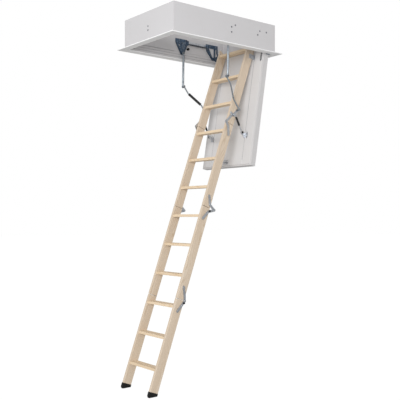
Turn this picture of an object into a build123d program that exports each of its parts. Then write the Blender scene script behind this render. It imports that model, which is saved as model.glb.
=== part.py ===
from build123d import *
import math
import os

# Attic ladder: an insulated casing, a drop-down leaf with the top ladder section on it,
# and three more wooden sections that fold. Millimetres. +X points to the leaf's hinge end,
# +Z up. The origin is the centre of the opening, level with the underside of the trim.

# Casing
casing_length = 1090.0
casing_width = 690.0
casing_height = 250.0
casing_wall = 20.0
trim_overhang = 46.0
trim_thickness = 8.0
groove_heights = (24.0, 46.0, 68.0)
groove_width = 4.0
groove_depth = 2.0
seal_reach = 2.2
seal_play = 0.1
floor_drop = 2800.0

# Leaf
leaf_angle = 80.7
leaf_end_gap = 5.0
leaf_side_gap = 3.5
skin_thickness = 5.0
core_thickness = 45.0
board_thickness = 6.0
board_margin = 12.0
panel_half_width = 207.0
panel_groove = 4.0
panel_groove_depth = 2.0
hinge_height = 14.0
hinge_inset = 40.0
hinge_pin_radius = 6.0
hinge_pin_depth = 18.0
bush_wall = 2.0
running_clearance = 0.05

# Ladder
ladder_angle = 70.0
front_x = 339.0
ladder_width = 400.0
stringer_thickness = 22.0
stringer_depth = 78.0
stringer_chamfer = 1.5
top_station = -113.0
top_splay = 36.0
fold_stations = (642.0, 1392.0, 2180.0)
fold_gap = 4.0
pivot_depths = (-10.0, stringer_depth + 45.0, stringer_depth + 4.0)
first_tread = -57.0
tread_pitch = 256.4
treads_per_section = 3
tread_depth = 72.0
tread_thickness = 22.0
tread_front_depth = 5.0
tread_fillet = 2.0
housing_depth = 8.0
housing_play = 0.1
tread_groove = 3.0
tread_groove_depth = 1.5
tread_groove_pitch = 14.0
cap_height = 50.0
cap_wall = 2.5
cap_lip = 3.0
cap_sole = 14.0
cap_play = 0.15
cap_flush = 0.4

# Steel work
seat_gap = 0.4
plate_thickness = 3.0
wall_plate = 2.4
arm_width = 22.0
rivet_radius = 4.0
screw_radius = 2.5
screw_head_radius = 5.0
screw_head_height = 2.0
screw_length = 13.0
screw_play = 0.1
bolt_radius = 3.0
bolt_head_radius = 6.5
bolt_head_height = 1.5
layer_gap = 0.4
angle_foot = 16.0
stop_radius = 8.0
stop_length = 8.0

# Arms
arm_pivot = (46.0, 58.0)
elbow = (40.0, -244.0)
arm_bend = (86.0, -301.0)
arm_lower_bend = (180.0, -406.0)
arm_end = (243.0, -491.0)
lever_y = 303.0
link_y = 287.0
link_inner_y = 217.0
lever_radius = 9.5
link_radius = 6.0
eye_radius = 12.0
eye_thickness = 8.0
arm_pin_radius = 5.0
sleeve_radius = 11.5
sleeve_inset = 7.0
strut_top = (552.0, 50.0)
strut_foot = (276.0, -683.0)
strut_y = 217.0
strut_radius = 5.0
strut_sleeve_radius = 9.0

inner_length = casing_length - 2 * casing_wall
inner_width = casing_width - 2 * casing_wall
hinge_x = inner_length / 2 - leaf_end_gap - hinge_inset
leaf_length = inner_length - 2 * leaf_end_gap
leaf_width = inner_width - 2 * leaf_side_gap
leaf_inner = skin_thickness + core_thickness + board_thickness - hinge_height
stringer_outer = ladder_width / 2
stringer_inner = stringer_outer - stringer_thickness
slope = math.radians(ladder_angle)
down = (-math.cos(slope), 0, -math.sin(slope))
leaf_slope = math.radians(leaf_angle)
leaf_down = (-math.cos(leaf_slope), 0, -math.sin(leaf_slope))
bracket_face = inner_width / 2 - seat_gap

finished = []


def ladder_plane(y):
    """Plane across the ladder at y: local x runs down the slope, local y to the back."""
    return Plane(origin=(front_x, y, 0), x_dir=down, z_dir=(0, -1, 0))


def leaf_plane(y):
    """Plane across the leaf at y, on its hinge axis: local x down the leaf, y to the ladder."""
    return Plane(origin=(hinge_x, y, hinge_height), x_dir=leaf_down, z_dir=(0, 1, 0))


def upright(y):
    """Vertical lengthwise plane at -y, whose normal points out of the near wall."""
    return Plane.XZ.offset(y)


def ladder_point(station, depth):
    """X and Z of a point given along the slope and back from the ladder's front face."""
    x = front_x + station * down[0] - depth * down[2]
    z = station * down[2] + depth * down[0]
    return (x, z)


def keep(shape, name):
    shape.label = name
    finished.append(shape)


def keep_pair(shape, name):
    """Near and far pieces, mirrored about the middle of the ladder, as two nodes."""
    keep(shape, name + "_near")
    keep(mirror(shape, about=Plane.XZ), name + "_far")


def both(shape):
    """Near and far copies of a piece, as a list."""
    return [shape, mirror(shape, about=Plane.XZ)]


def bar(start, end, width):
    """A round-ended strip of the current sketch between two points."""
    dx = end[0] - start[0]
    dy = end[1] - start[1]
    with Locations(((start[0] + end[0]) / 2, (start[1] + end[1]) / 2)):
        SlotCenterToCenter(math.hypot(dx, dy), width, rotation=math.degrees(math.atan2(dy, dx)))


def rod(start, end, radius):
    """A plain round bar between two points in space, outside any block."""
    axis = Vector(*end) - Vector(*start)
    with BuildPart() as round_bar:
        with BuildSketch(Plane(origin=start, z_dir=axis)):
            Circle(radius)
        extrude(amount=axis.length)
    return round_bar.part


# Screw places, in X and Z on the long walls
arm_bolts = ((46.0, 152.0), (86.0, 172.0), (46.0, 110.0))
rear_bolts = ((340.0, 135.0), (364.0, 170.0), (441.0, 171.0))
latch_bolts = ((0.0, 129.0), (0.0, 97.0))

# Casing walls: two full-length sides with the end boards between them
wall_height = casing_height - trim_thickness
wall_middle = (casing_height + trim_thickness) / 2
with BuildPart() as side_wall:
    with BuildSketch(upright(inner_width / 2)):
        with Locations((0, wall_middle)):
            Rectangle(casing_length, wall_height)
    extrude(amount=casing_wall)
    with BuildSketch(upright(inner_width / 2)):
        with Locations(*[(0, height) for height in groove_heights]):
            Rectangle(inner_length + 2 * groove_depth, groove_width)
    extrude(amount=groove_depth, mode=Mode.SUBTRACT)
    with BuildSketch(upright(inner_width / 2)):
        with Locations(*(arm_bolts + rear_bolts)):
            Circle(bolt_radius + screw_play)
    extrude(amount=casing_wall, mode=Mode.SUBTRACT)
keep_pair(side_wall.part, "casing_side")

for end_name, side in (("casing_end_latch", -1), ("casing_end_hinge", 1)):
    face_plane = Plane.YZ.offset(side * inner_length / 2)
    with BuildPart() as end_wall:
        with BuildSketch(face_plane):
            with Locations((0, wall_middle)):
                Rectangle(inner_width, wall_height)
        extrude(amount=side * casing_wall)
        with BuildSketch(face_plane):
            with Locations(*[(0, height) for height in groove_heights]):
                Rectangle(inner_width, groove_width)
        extrude(amount=side * groove_depth, mode=Mode.SUBTRACT)
        if side < 0:
            with BuildSketch(face_plane):
                with Locations(*latch_bolts):
                    Circle(bolt_radius + screw_play)
            extrude(amount=side * casing_wall, mode=Mode.SUBTRACT)
    keep(end_wall.part, end_name)

with BuildPart() as trim:
    with BuildSketch(Plane.XY):
        Rectangle(casing_length + 2 * trim_overhang, casing_width + 2 * trim_overhang)
        Rectangle(inner_length, inner_width, mode=Mode.SUBTRACT)
    extrude(amount=trim_thickness)
keep(trim.part, "ceiling_trim")

# Rubber seal in the top groove, round the latch end and along the free part of each side
seal_end = arm_pivot[0] - 90.0
seal_thickness = groove_width - 2 * seal_play
seal_outer = 2 * (groove_depth - seal_play)
with BuildPart() as seal:
    with BuildSketch(Plane.XY.offset(groove_heights[-1] - seal_thickness / 2)):
        Rectangle(inner_length + seal_outer, inner_width + seal_outer)
        Rectangle(inner_length - 2 * seal_reach, inner_width - 2 * seal_reach, mode=Mode.SUBTRACT)
        with Locations((seal_end, 0)):
            Rectangle(casing_length, casing_width, align=(Align.MIN, Align.CENTER), mode=Mode.SUBTRACT)
    extrude(amount=seal_thickness)
keep(seal.part, "casing_seal")

# Arm bracket: a folded steel fan on the side wall, with the lever's pin at its foot
tab_reach = 22.0
tab_x = 104.0
rod_height = 150.0
fan_top = 186.0
fan_left = -30.0
with BuildPart() as arm_bracket:
    with BuildSketch(upright(bracket_face - wall_plate)):
        with BuildLine():
            Polyline(
                (fan_left, fan_top),
                (tab_x, fan_top),
                (tab_x, 140),
                (arm_pivot[0] + 16, arm_pivot[1] - 12),
                (arm_pivot[0] - 16, arm_pivot[1] - 12),
                (fan_left, 150),
                close=True,
            )
        make_face()
        with Locations(*arm_bolts):
            Circle(bolt_radius + screw_play, mode=Mode.SUBTRACT)
        with Locations((12, 128)):
            Circle(9, mode=Mode.SUBTRACT)
    extrude(amount=wall_plate)
    with BuildSketch(upright(bracket_face - wall_plate)):
        bar((fan_left + 3, 150), (arm_pivot[0] - 14, arm_pivot[1]), plate_thickness)
        bar((tab_x - 3, 143), (arm_pivot[0] + 14, arm_pivot[1]), plate_thickness)
    extrude(amount=-7)
    with BuildSketch(upright(bracket_face - wall_plate)):
        with Locations((tab_x - plate_thickness / 2, rod_height + 6)):
            Rectangle(plate_thickness, 40)
    extrude(amount=-tab_reach)
    with BuildSketch(upright(bracket_face - wall_plate)):
        with Locations(arm_pivot):
            Circle(arm_pin_radius)
    extrude(amount=-(bracket_face - wall_plate - lever_y + eye_thickness / 2 + 1))
keep_pair(arm_bracket.part, "arm_bracket")

# Rear bracket: carries the leaf's hinge pin beside the leaf's edge
with BuildPart() as rear_bracket:
    with BuildSketch(upright(bracket_face - wall_plate)):
        with BuildLine():
            Polyline(
                (322, 186),
                (462, 186),
                (462, 120),
                (hinge_x + 20, 40),
                (hinge_x + 20, -6),
                (hinge_x - 20, -6),
                (hinge_x - 24, 34),
                (416, 44),
                (392, 44),
                (322, 126),
                close=True,
            )
        make_face()
        with BuildLine():
            Polyline((356, 152), (414, 152), (414, 72), (398, 72), close=True)
        make_face(mode=Mode.SUBTRACT)
        with BuildLine():
            Polyline((430, 150), (446, 150), (446, 116), (458, 94), (430, 76), close=True)
        make_face(mode=Mode.SUBTRACT)
        with Locations(*rear_bolts):
            Circle(bolt_radius + screw_play, mode=Mode.SUBTRACT)
    extrude(amount=wall_plate)
    with BuildSketch(upright(bracket_face - wall_plate)):
        bar((324, 127), (393, 46), plate_thickness)
        bar((422, 152), (416, 46), plate_thickness)
        bar((393, 46), (416, 46), plate_thickness)
    extrude(amount=-14)
    with BuildSketch(upright(bracket_face - wall_plate)):
        with Locations((322 + plate_thickness / 2, rod_height + 6)):
            Rectangle(plate_thickness, 40)
    extrude(amount=-tab_reach)
    with BuildSketch(upright(bracket_face - wall_plate)):
        with Locations((hinge_x, hinge_height)):
            Circle(hinge_pin_radius)
    extrude(amount=-(bracket_face - wall_plate - leaf_width / 2 + hinge_pin_depth))
keep(Compound(children=both(rear_bracket.part)), "rear_brackets")

# Flat rail and closing-spring tube between the two brackets
rail_left = tab_x + 1.0
rail_right = 322 - 1.0
with BuildPart() as rail:
    with BuildSketch(upright(bracket_face - wall_plate)):
        with Locations(((rail_left + rail_right) / 2, rod_height + 16)):
            Rectangle(rail_right - rail_left, 18)
    extrude(amount=wall_plate)
keep(Compound(children=both(rail.part)), "spring_rails")

tube_y = bracket_face - wall_plate - tab_reach / 2
tube_left = tab_x + seat_gap
tube_right = 322 - seat_gap
tube = rod((tube_left, -tube_y, rod_height - 4), (tube_right, -tube_y, rod_height - 4), 7)
keep(Compound(children=both(tube)), "spring_tubes")

knob = (arm_pivot[0] + 62, arm_pivot[1] + 46)
with BuildPart() as bumper:
    with BuildSketch(upright(bracket_face)):
        with Locations(knob):
            Circle(11)
    extrude(amount=-18)
    fillet(bumper.edges().sort_by(Axis.Y)[-1], 3)
keep(Compound(children=both(bumper.part)), "arm_bumpers")

# Bolts through the casing walls
bolts = []
for place in arm_bolts + rear_bolts:
    with BuildPart() as bolt:
        with BuildSketch(upright(bracket_face - wall_plate - 2)):
            with Locations(place):
                Circle(bolt_radius)
        extrude(amount=casing_width / 2 - (bracket_face - wall_plate - 2))
        with BuildSketch(upright(casing_width / 2)):
            with Locations(place):
                Circle(bolt_head_radius)
        extrude(amount=bolt_head_height)
    bolts.extend(both(bolt.part))
for place in latch_bolts:
    with BuildPart() as bolt:
        with BuildSketch(Plane.YZ.offset(-inner_length / 2)):
            with Locations(place):
                Circle(bolt_radius)
        extrude(amount=-casing_wall)
        with BuildSketch(Plane.YZ.offset(-casing_length / 2)):
            with Locations(place):
                Circle(bolt_head_radius)
        extrude(amount=-bolt_head_height)
    bolts.append(bolt.part)
keep(Compound(children=bolts), "casing_bolts")

# Latch on the end wall: a case and a sprung bolt that slides down out of it
latch_width = 46.0
latch_depth = 26.0
latch_top = 142.0
latch_bottom = 84.0
latch_wall = 4.0
latch_play = 0.4
latch_face = -inner_length / 2 + seat_gap
bolt_size = (latch_width - 2 * latch_wall - 2 * latch_play, latch_depth - 2 * latch_wall - 2 * latch_play)
latch_middle = latch_face + latch_depth / 2
latch_travel = 12.0
with BuildPart() as latch_case:
    with BuildSketch(Plane.XY.offset(latch_bottom)):
        with Locations((latch_middle, 0)):
            Rectangle(latch_depth, latch_width)
    extrude(amount=latch_top - latch_bottom)
    with BuildSketch(Plane.XY.offset(latch_bottom)):
        with Locations((latch_middle, 0)):
            Rectangle(latch_depth - 2 * latch_wall, latch_width - 2 * latch_wall)
    extrude(amount=latch_top - latch_bottom - latch_wall, mode=Mode.SUBTRACT)
keep(latch_case.part, "latch_case")

with BuildPart() as latch_bolt:
    with BuildSketch(Plane.XY.offset(latch_bottom - 18)):
        with Locations((latch_middle, 0)):
            Rectangle(bolt_size[1], bolt_size[0])
    extrude(amount=18 + latch_top - latch_bottom - latch_wall - latch_travel - 1)
    with BuildSketch(Plane.XZ):
        with BuildLine():
            Polyline(
                (latch_middle - bolt_size[1], latch_bottom - 19),
                (latch_middle + bolt_size[1], latch_bottom - 19),
                (latch_middle + bolt_size[1], latch_bottom - 4),
                close=True,
            )
        make_face()
    extrude(amount=latch_width, both=True, mode=Mode.SUBTRACT)
keep(latch_bolt.part, "latch_bolt")

# Leaf: skin, insulating core and inner board, with steel bushes for the hinge pins
bush_radius = hinge_pin_radius + running_clearance + bush_wall


def leaf_layer(low, high, width, start, end):
    with BuildPart() as layer:
        with BuildSketch(leaf_plane(-width / 2)):
            with Locations(((start + end) / 2, (low + high) / 2)):
                Rectangle(end - start, high - low)
        extrude(amount=width)
    return layer.part


leaf_top = -hinge_inset
leaf_foot = leaf_length - hinge_inset
skin_top = skin_thickness - hinge_height
core_top = skin_top + core_thickness
keep(leaf_layer(-hinge_height, skin_top, leaf_width, leaf_top, leaf_foot), "leaf_skin")
with BuildPart() as core:
    add(leaf_layer(skin_top, core_top, leaf_width, leaf_top, leaf_foot))
    for edge, sign in ((leaf_width / 2, -1), (-leaf_width / 2, 1)):
        with BuildSketch(leaf_plane(edge)):
            Circle(bush_radius)
        extrude(amount=sign * (hinge_pin_depth + 2), mode=Mode.SUBTRACT)
keep(core.part, "leaf_core")

with BuildPart() as board:
    add(
        leaf_layer(
            core_top,
            leaf_inner,
            leaf_width - 2 * board_margin,
            leaf_top + board_margin,
            leaf_foot - board_margin,
        )
    )
    for edge in (panel_half_width, -panel_half_width):
        with BuildSketch(leaf_plane(edge - panel_groove / 2)):
            with Locations(((leaf_top + leaf_foot) / 2, leaf_inner)):
                Rectangle(leaf_length, 2 * panel_groove_depth)
        extrude(amount=panel_groove, mode=Mode.SUBTRACT)
keep(board.part, "leaf_board")

with BuildPart() as bush:
    with BuildSketch(leaf_plane(-leaf_width / 2)):
        Circle(bush_radius)
        Circle(hinge_pin_radius + running_clearance, mode=Mode.SUBTRACT)
    extrude(amount=hinge_pin_depth + 1)
keep(Compound(children=both(bush.part)), "leaf_bushes")

# Angle brackets from the back of the top section to the leaf
foot_from = stringer_outer + seat_gap
with BuildPart() as top_angle:
    with BuildSketch(leaf_plane(-foot_from)):
        with Locations((40, leaf_inner + seat_gap)):
            Rectangle(40, 58, align=(Align.CENTER, Align.MIN))
    extrude(amount=-plate_thickness)
    with BuildSketch(leaf_plane(-foot_from)):
        with Locations((40, leaf_inner + seat_gap)):
            Rectangle(40, plate_thickness, align=(Align.CENTER, Align.MIN))
    extrude(amount=-angle_foot)
keep(Compound(children=both(top_angle.part)), "top_angles")

# Leaf lugs for the struts: an upstand with a pin for the strut's eye
leaf_frame = leaf_plane(0)
foot_local = leaf_frame.to_local_coords(Vector(strut_foot[0], 0, strut_foot[1]))
strut_eye = 9.0
strut_plate = 2 * strut_radius + 1
with BuildPart() as leaf_lug:
    with BuildSketch(leaf_plane(-(strut_y - strut_plate / 2 - layer_gap - plate_thickness))):
        bar((foot_local.X, foot_local.Y), (foot_local.X + 14, leaf_inner + 14), 20)
        with Locations((foot_local.X + 14, leaf_inner + seat_gap)):
            Rectangle(44, 16, align=(Align.CENTER, Align.MIN))
    extrude(amount=-plate_thickness)
    with BuildSketch(leaf_plane(-(strut_y - strut_plate / 2 - layer_gap - plate_thickness))):
        with Locations((foot_local.X + 14, leaf_inner + seat_gap)):
            Rectangle(44, plate_thickness, align=(Align.CENTER, Align.MIN))
    extrude(amount=-34)
    with BuildSketch(leaf_plane(-(strut_y - strut_plate / 2 - layer_gap))):
        with Locations((foot_local.X, foot_local.Y)):
            Circle(rivet_radius)
    extrude(amount=-(strut_plate + 2 * layer_gap + 2))
    with BuildSketch(leaf_plane(-(strut_y + strut_plate / 2 + layer_gap))):
        with Locations((foot_local.X, foot_local.Y)):
            Circle(rivet_radius + 2.5)
    extrude(amount=-2)
keep(Compound(children=both(leaf_lug.part)), "strut_lugs")

# Struts that hold the lower end of the top section off the leaf
strut_head = ladder_point(*strut_top)
strut_length = math.hypot(strut_foot[0] - strut_head[0], strut_foot[1] - strut_head[1])
strut_along = ((strut_foot[0] - strut_head[0]) / strut_length, (strut_foot[1] - strut_head[1]) / strut_length)


def strut_at(distance):
    return (strut_head[0] + strut_along[0] * distance, -strut_y, strut_head[1] + strut_along[1] * distance)


strut_bar = rod(strut_at(7), strut_at(strut_length - 7), strut_radius)
with BuildPart() as strut:
    add(strut_bar)
    with BuildSketch(upright(strut_y - strut_plate / 2)):
        with Locations(strut_head, strut_foot):
            Circle(strut_eye)
    extrude(amount=strut_plate)
    with BuildSketch(upright(strut_y - 10)):
        with Locations(strut_head, strut_foot):
            Circle(rivet_radius + running_clearance)
    extrude(amount=20, mode=Mode.SUBTRACT)
keep(Compound(children=both(strut.part)), "struts")

sleeve_start = strut_length * 0.14
sleeve_end = strut_length * 0.62
with BuildPart() as strut_sleeve:
    add(rod(strut_at(sleeve_start), strut_at(sleeve_end), strut_sleeve_radius))
    add(rod(strut_at(0), strut_at(strut_length), strut_radius + running_clearance), mode=Mode.SUBTRACT)
keep(Compound(children=both(strut_sleeve.part)), "strut_sleeves")

# Catch plate for the latch at the free end of the leaf
with BuildPart() as catch:
    with BuildSketch(leaf_plane(-30)):
        with Locations((leaf_foot - board_margin - 30, leaf_inner + seat_gap)):
            Rectangle(40, 2, align=(Align.CENTER, Align.MIN))
        with Locations((leaf_foot - board_margin - 30, leaf_inner + seat_gap)):
            Rectangle(3, 18, align=(Align.CENTER, Align.MIN))
    extrude(amount=60)
keep(catch.part, "latch_catch")

# Fold hinges. Each plate is a run of strips through its screws to the pivot.
pivots = list(zip(fold_stations, pivot_depths))
arm_stud = ladder_plane(0).to_local_coords(Vector(arm_end[0], 0, arm_end[1]))
arm_stud_place = (arm_stud.X, arm_stud.Y)
upper_plates = (
    ((-91, 14), (-84, 50), (-84, 34)),
    ((-94, 34), (-28, 64)),
    ((-101, 36), (-36, 70)),
)
upper_screws = (
    ((-91, 14), (-84, 66)),
    ((-94, 34), (-34, 60)),
    ((-101, 36), (-40, 68)),
)
lower_plates = (
    ((96, 50), (30, 22)),
    ((102, 30), (34, 66)),
    ((98, 38), (24, 72)),
)
lower_screws = (
    ((96, 50), (44, 26)),
    ((102, 30), (46, 60)),
    ((98, 38), (40, 64)),
)
stop_places = (None, (24, 76), (20, 78))


def placed(station, points):
    return [(station + s, d) for s, d in points]


def upper_plate(index):
    """Plate on the section above the fold, with the rivet that the lower plate turns on."""
    station, depth = pivots[index]
    run = placed(station, upper_plates[index]) + [pivots[index]]
    with BuildPart() as plate:
        with BuildSketch(ladder_plane(-foot_from)):
            for start, end in zip(run, run[1:]):
                bar(start, end, arm_width)
            if index == 0:
                bar(strut_top, (strut_top[0] + 2, 68), arm_width)
                bar(strut_top, arm_stud_place, arm_width)
            with Locations(*placed(station, upper_screws[index])):
                Circle(screw_radius + screw_play, mode=Mode.SUBTRACT)
        extrude(amount=plate_thickness)
        with BuildSketch(ladder_plane(-(foot_from + plate_thickness))):
            with Locations((station, depth)):
                Circle(rivet_radius)
        extrude(amount=plate_thickness + 2 * layer_gap + 2)
        with BuildSketch(ladder_plane(-(foot_from + 2 * plate_thickness + 2 * layer_gap))):
            with Locations((station, depth)):
                Circle(rivet_radius + 3)
        extrude(amount=2)
        if index == 0:
            with BuildSketch(ladder_plane(-(foot_from + plate_thickness))):
                with Locations(strut_top):
                    Circle(rivet_radius)
            extrude(amount=strut_y + strut_plate / 2 + 2 - foot_from - plate_thickness)
            with BuildSketch(ladder_plane(-(foot_from + plate_thickness))):
                with Locations(arm_stud_place):
                    Circle(rivet_radius)
            extrude(amount=link_inner_y - link_radius - 2 * layer_gap - foot_from - plate_thickness)
    return plate.part


def lower_plate(index):
    """Plate on the section below the fold, spaced out one layer on bosses at its screws."""
    station, depth = pivots[index]
    run = [pivots[index]] + list(reversed(placed(station, lower_plates[index])))
    outer = foot_from + plate_thickness + layer_gap
    with BuildPart() as plate:
        with BuildSketch(ladder_plane(-outer)):
            for start, end in zip(run, run[1:]):
                bar(start, end, arm_width)
        extrude(amount=plate_thickness)
        with BuildSketch(ladder_plane(-foot_from)):
            with Locations(*placed(station, lower_screws[index])):
                Circle(screw_head_radius + 2)
        extrude(amount=plate_thickness + layer_gap)
        with BuildSketch(ladder_plane(-foot_from)):
            with Locations(*placed(station, lower_screws[index])):
                Circle(screw_radius + screw_play)
            with Locations((station, depth)):
                Circle(rivet_radius + running_clearance)
        extrude(amount=2 * plate_thickness + layer_gap, mode=Mode.SUBTRACT)
    return plate.part


def hinge_screw(place, face):
    with BuildPart() as screw:
        with BuildSketch(ladder_plane(-face)):
            with Locations(place):
                Circle(screw_head_radius)
        extrude(amount=screw_head_height)
        with BuildSketch(ladder_plane(-(stringer_outer - screw_length))):
            with Locations(place):
                Circle(screw_radius)
        extrude(amount=face - stringer_outer + screw_length)
    return screw.part


upper_face = foot_from + plate_thickness
lower_face = foot_from + 2 * plate_thickness + layer_gap
screw_places = [[] for _ in range(4)]
for fold in range(3):
    for place in placed(fold_stations[fold], upper_screws[fold]):
        screw_places[fold].append((place, upper_face))
    for place in placed(fold_stations[fold], lower_screws[fold]):
        screw_places[fold + 1].append((place, lower_face))

for section in range(4):
    plates = []
    if section < 3:
        plates.extend(both(upper_plate(section)))
    if section > 0:
        plates.extend(both(lower_plate(section - 1)))
    keep(Compound(children=plates), f"hinge_plates_{section + 1}")
    screws = []
    for place, face in screw_places[section]:
        screws.extend(both(hinge_screw(place, face)))
    keep(Compound(children=screws), f"hinge_screws_{section + 1}")

for fold in (1, 2):
    place = placed(fold_stations[fold], [stop_places[fold]])[0]
    with BuildPart() as stop:
        with BuildSketch(ladder_plane(-(lower_face + seat_gap))):
            with Locations(place):
                Circle(stop_radius)
        extrude(amount=stop_length)
        fillet(stop.edges().sort_by(Axis.Y)[0], 2)
    keep(Compound(children=both(stop.part)), f"hinge_stops_{fold + 2}")

# Treads: level boards housed in the stringers
tread_length = 2 * (stringer_inner + housing_depth - housing_play)


def tread_centre(index):
    station = first_tread + tread_pitch * index
    x, z = ladder_point(station, tread_front_depth)
    return (x + tread_depth / 2, z)


for index in range(4 * treads_per_section):
    centre = tread_centre(index)
    top = centre[1] + tread_thickness / 2
    with BuildPart() as tread:
        with BuildSketch(Plane.XZ):
            with Locations(centre):
                Rectangle(tread_depth, tread_thickness)
        extrude(amount=tread_length / 2, both=True)
        fillet(tread.edges().filter_by(Axis.Y), tread_fillet)
        with BuildSketch(Plane.XZ):
            with Locations(*[(centre[0] + step * tread_groove_pitch, top) for step in (-1, 0, 1)]):
                Rectangle(tread_groove, 2 * tread_groove_depth)
        extrude(amount=stringer_inner - 14, both=True, mode=Mode.SUBTRACT)
    keep(tread.part, f"tread_{index + 1:02d}")

# Stringers
sole_z = -floor_drop


def level_station(depth, z):
    """Station where the line at this depth meets height z."""
    return (z - depth * down[0]) / down[2]


def stringer_outline(section):
    top = fold_stations[section - 1] + fold_gap / 2 if section else top_station
    back_top = top if section else top_station + top_splay
    if section < 3:
        bottom = fold_stations[section] - fold_gap / 2
        return [(top, 0), (bottom, 0), (bottom, stringer_depth), (back_top, stringer_depth)]
    cap_top = level_station(0, sole_z) - cap_height
    return [(top, 0), (cap_top, 0), (cap_top, stringer_depth), (back_top, stringer_depth)]


def tenon_outline(play):
    """Reduced end of the last stringer, under the foot cap."""
    start = level_station(0, sole_z) - cap_height
    low = cap_wall - cap_lip + 1.0 - play
    high = stringer_depth - low
    end_z = sole_z + cap_sole - play
    return [(start, low), (level_station(low, end_z), low), (level_station(high, end_z), high), (start, high)]


for section in range(4):
    with BuildPart() as stringer:
        with BuildSketch(ladder_plane(-stringer_inner)):
            with BuildLine():
                Polyline(*stringer_outline(section), close=True)
            make_face()
        extrude(amount=stringer_thickness)
        chamfer(stringer.edges().filter_by(Axis((0, 0, 0), down)), stringer_chamfer)
        if section == 3:
            with BuildSketch(ladder_plane(-(stringer_inner + cap_wall))):
                with BuildLine():
                    Polyline(*tenon_outline(0), close=True)
                make_face()
            extrude(amount=stringer_thickness - 2 * cap_wall)
        with BuildSketch(upright(stringer_inner)):
            for index in range(treads_per_section * section, treads_per_section * (section + 1)):
                with Locations(tread_centre(index)):
                    RectangleRounded(
                        tread_depth + 2 * housing_play,
                        tread_thickness + 2 * housing_play,
                        tread_fillet,
                    )
        extrude(amount=housing_depth, mode=Mode.SUBTRACT)
        with BuildSketch(ladder_plane(-stringer_outer)):
            with Locations(*[place for place, _ in screw_places[section]]):
                Circle(screw_radius + screw_play)
        extrude(amount=-(screw_length + 1), mode=Mode.SUBTRACT)
    keep_pair(stringer.part, f"stringer_{section + 1}")

# Rubber foot caps with level soles
cap_start = level_station(0, sole_z) - cap_height + seat_gap
with BuildPart() as cap:
    with BuildSketch(ladder_plane(-(stringer_inner + cap_flush))):
        with BuildLine():
            Polyline(
                (cap_start, -cap_lip),
                (level_station(-cap_lip, sole_z + 16), -cap_lip),
                (level_station(9, sole_z), 9),
                (level_station(stringer_depth + cap_lip, sole_z), stringer_depth + cap_lip),
                (cap_start, stringer_depth + cap_lip),
                close=True,
            )
        make_face()
    extrude(amount=stringer_thickness - 2 * cap_flush)
    with BuildSketch(ladder_plane(-(stringer_inner + cap_wall - cap_play))):
        with BuildLine():
            Polyline(*tenon_outline(cap_play), close=True)
        make_face()
    extrude(amount=stringer_thickness - 2 * cap_wall + 2 * cap_play, mode=Mode.SUBTRACT)
keep(Compound(children=both(cap.part)), "foot_caps")

# Arms: a straight lever from the bracket and a bent link that reaches in to the ladder
with BuildPart() as lever:
    add(rod((arm_pivot[0], -lever_y, arm_pivot[1] - 8), (elbow[0], -lever_y, elbow[1] + 8), lever_radius))
    with BuildSketch(upright(lever_y - eye_thickness / 2)):
        with Locations(arm_pivot, elbow):
            Circle(eye_radius)
    extrude(amount=eye_thickness)
    with BuildSketch(upright(lever_y - 20)):
        with Locations(arm_pivot):
            Circle(arm_pin_radius + running_clearance)
    extrude(amount=40, mode=Mode.SUBTRACT)
    with BuildSketch(upright(lever_y - eye_thickness / 2)):
        with Locations(elbow):
            Circle(arm_pin_radius)
    extrude(amount=-(lever_y - link_y + 2))
keep_pair(lever.part, "arm_lever")

link_points = (
    (elbow[0], -link_y, elbow[1]),
    (arm_bend[0], -link_y, arm_bend[1]),
    (arm_lower_bend[0], -link_inner_y, arm_lower_bend[1]),
    (arm_end[0], -link_inner_y, arm_end[1]),
)
with BuildPart() as link:
    with BuildSketch(upright(link_y - eye_thickness / 2)):
        with Locations(elbow):
            Circle(eye_radius)
    extrude(amount=eye_thickness)
    with BuildLine() as link_path:
        FilletPolyline(*link_points, radius=(24, 24))
    with BuildSketch(Plane(origin=link_path.wire() @ 0, z_dir=link_path.wire() % 0)):
        Circle(link_radius)
    sweep()
    with BuildSketch(upright(link_inner_y - 4)):
        with Locations(arm_end):
            Circle(eye_radius)
    extrude(amount=8)
    with BuildSketch(upright(link_inner_y - 10)):
        with Locations(arm_end):
            Circle(rivet_radius + 0.5)
    extrude(amount=20, mode=Mode.SUBTRACT)
    with BuildSketch(upright(link_y - 20)):
        with Locations(elbow):
            Circle(arm_pin_radius + running_clearance)
    extrude(amount=40, mode=Mode.SUBTRACT)
keep_pair(link.part, "arm_link")

bend = Vector(*link_points[1])
lower_bend = Vector(*link_points[2])
across = (lower_bend - bend).normalized()
sleeve_from = bend + across * sleeve_inset
sleeve_to = lower_bend - across * sleeve_inset
with BuildPart() as arm_sleeve:
    add(rod(tuple(sleeve_from), tuple(sleeve_to), sleeve_radius))
    add(rod(tuple(bend), tuple(lower_bend), link_radius + running_clearance), mode=Mode.SUBTRACT)
keep(mirror(arm_sleeve.part, about=Plane.XZ), "arm_sleeve_far")

os.makedirs("parts", exist_ok=True)
for shape in finished:
    export_step(shape, f"parts/{shape.label}.step")
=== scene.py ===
import math

import bmesh
import bpy
from mathutils import Matrix, Vector


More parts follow.
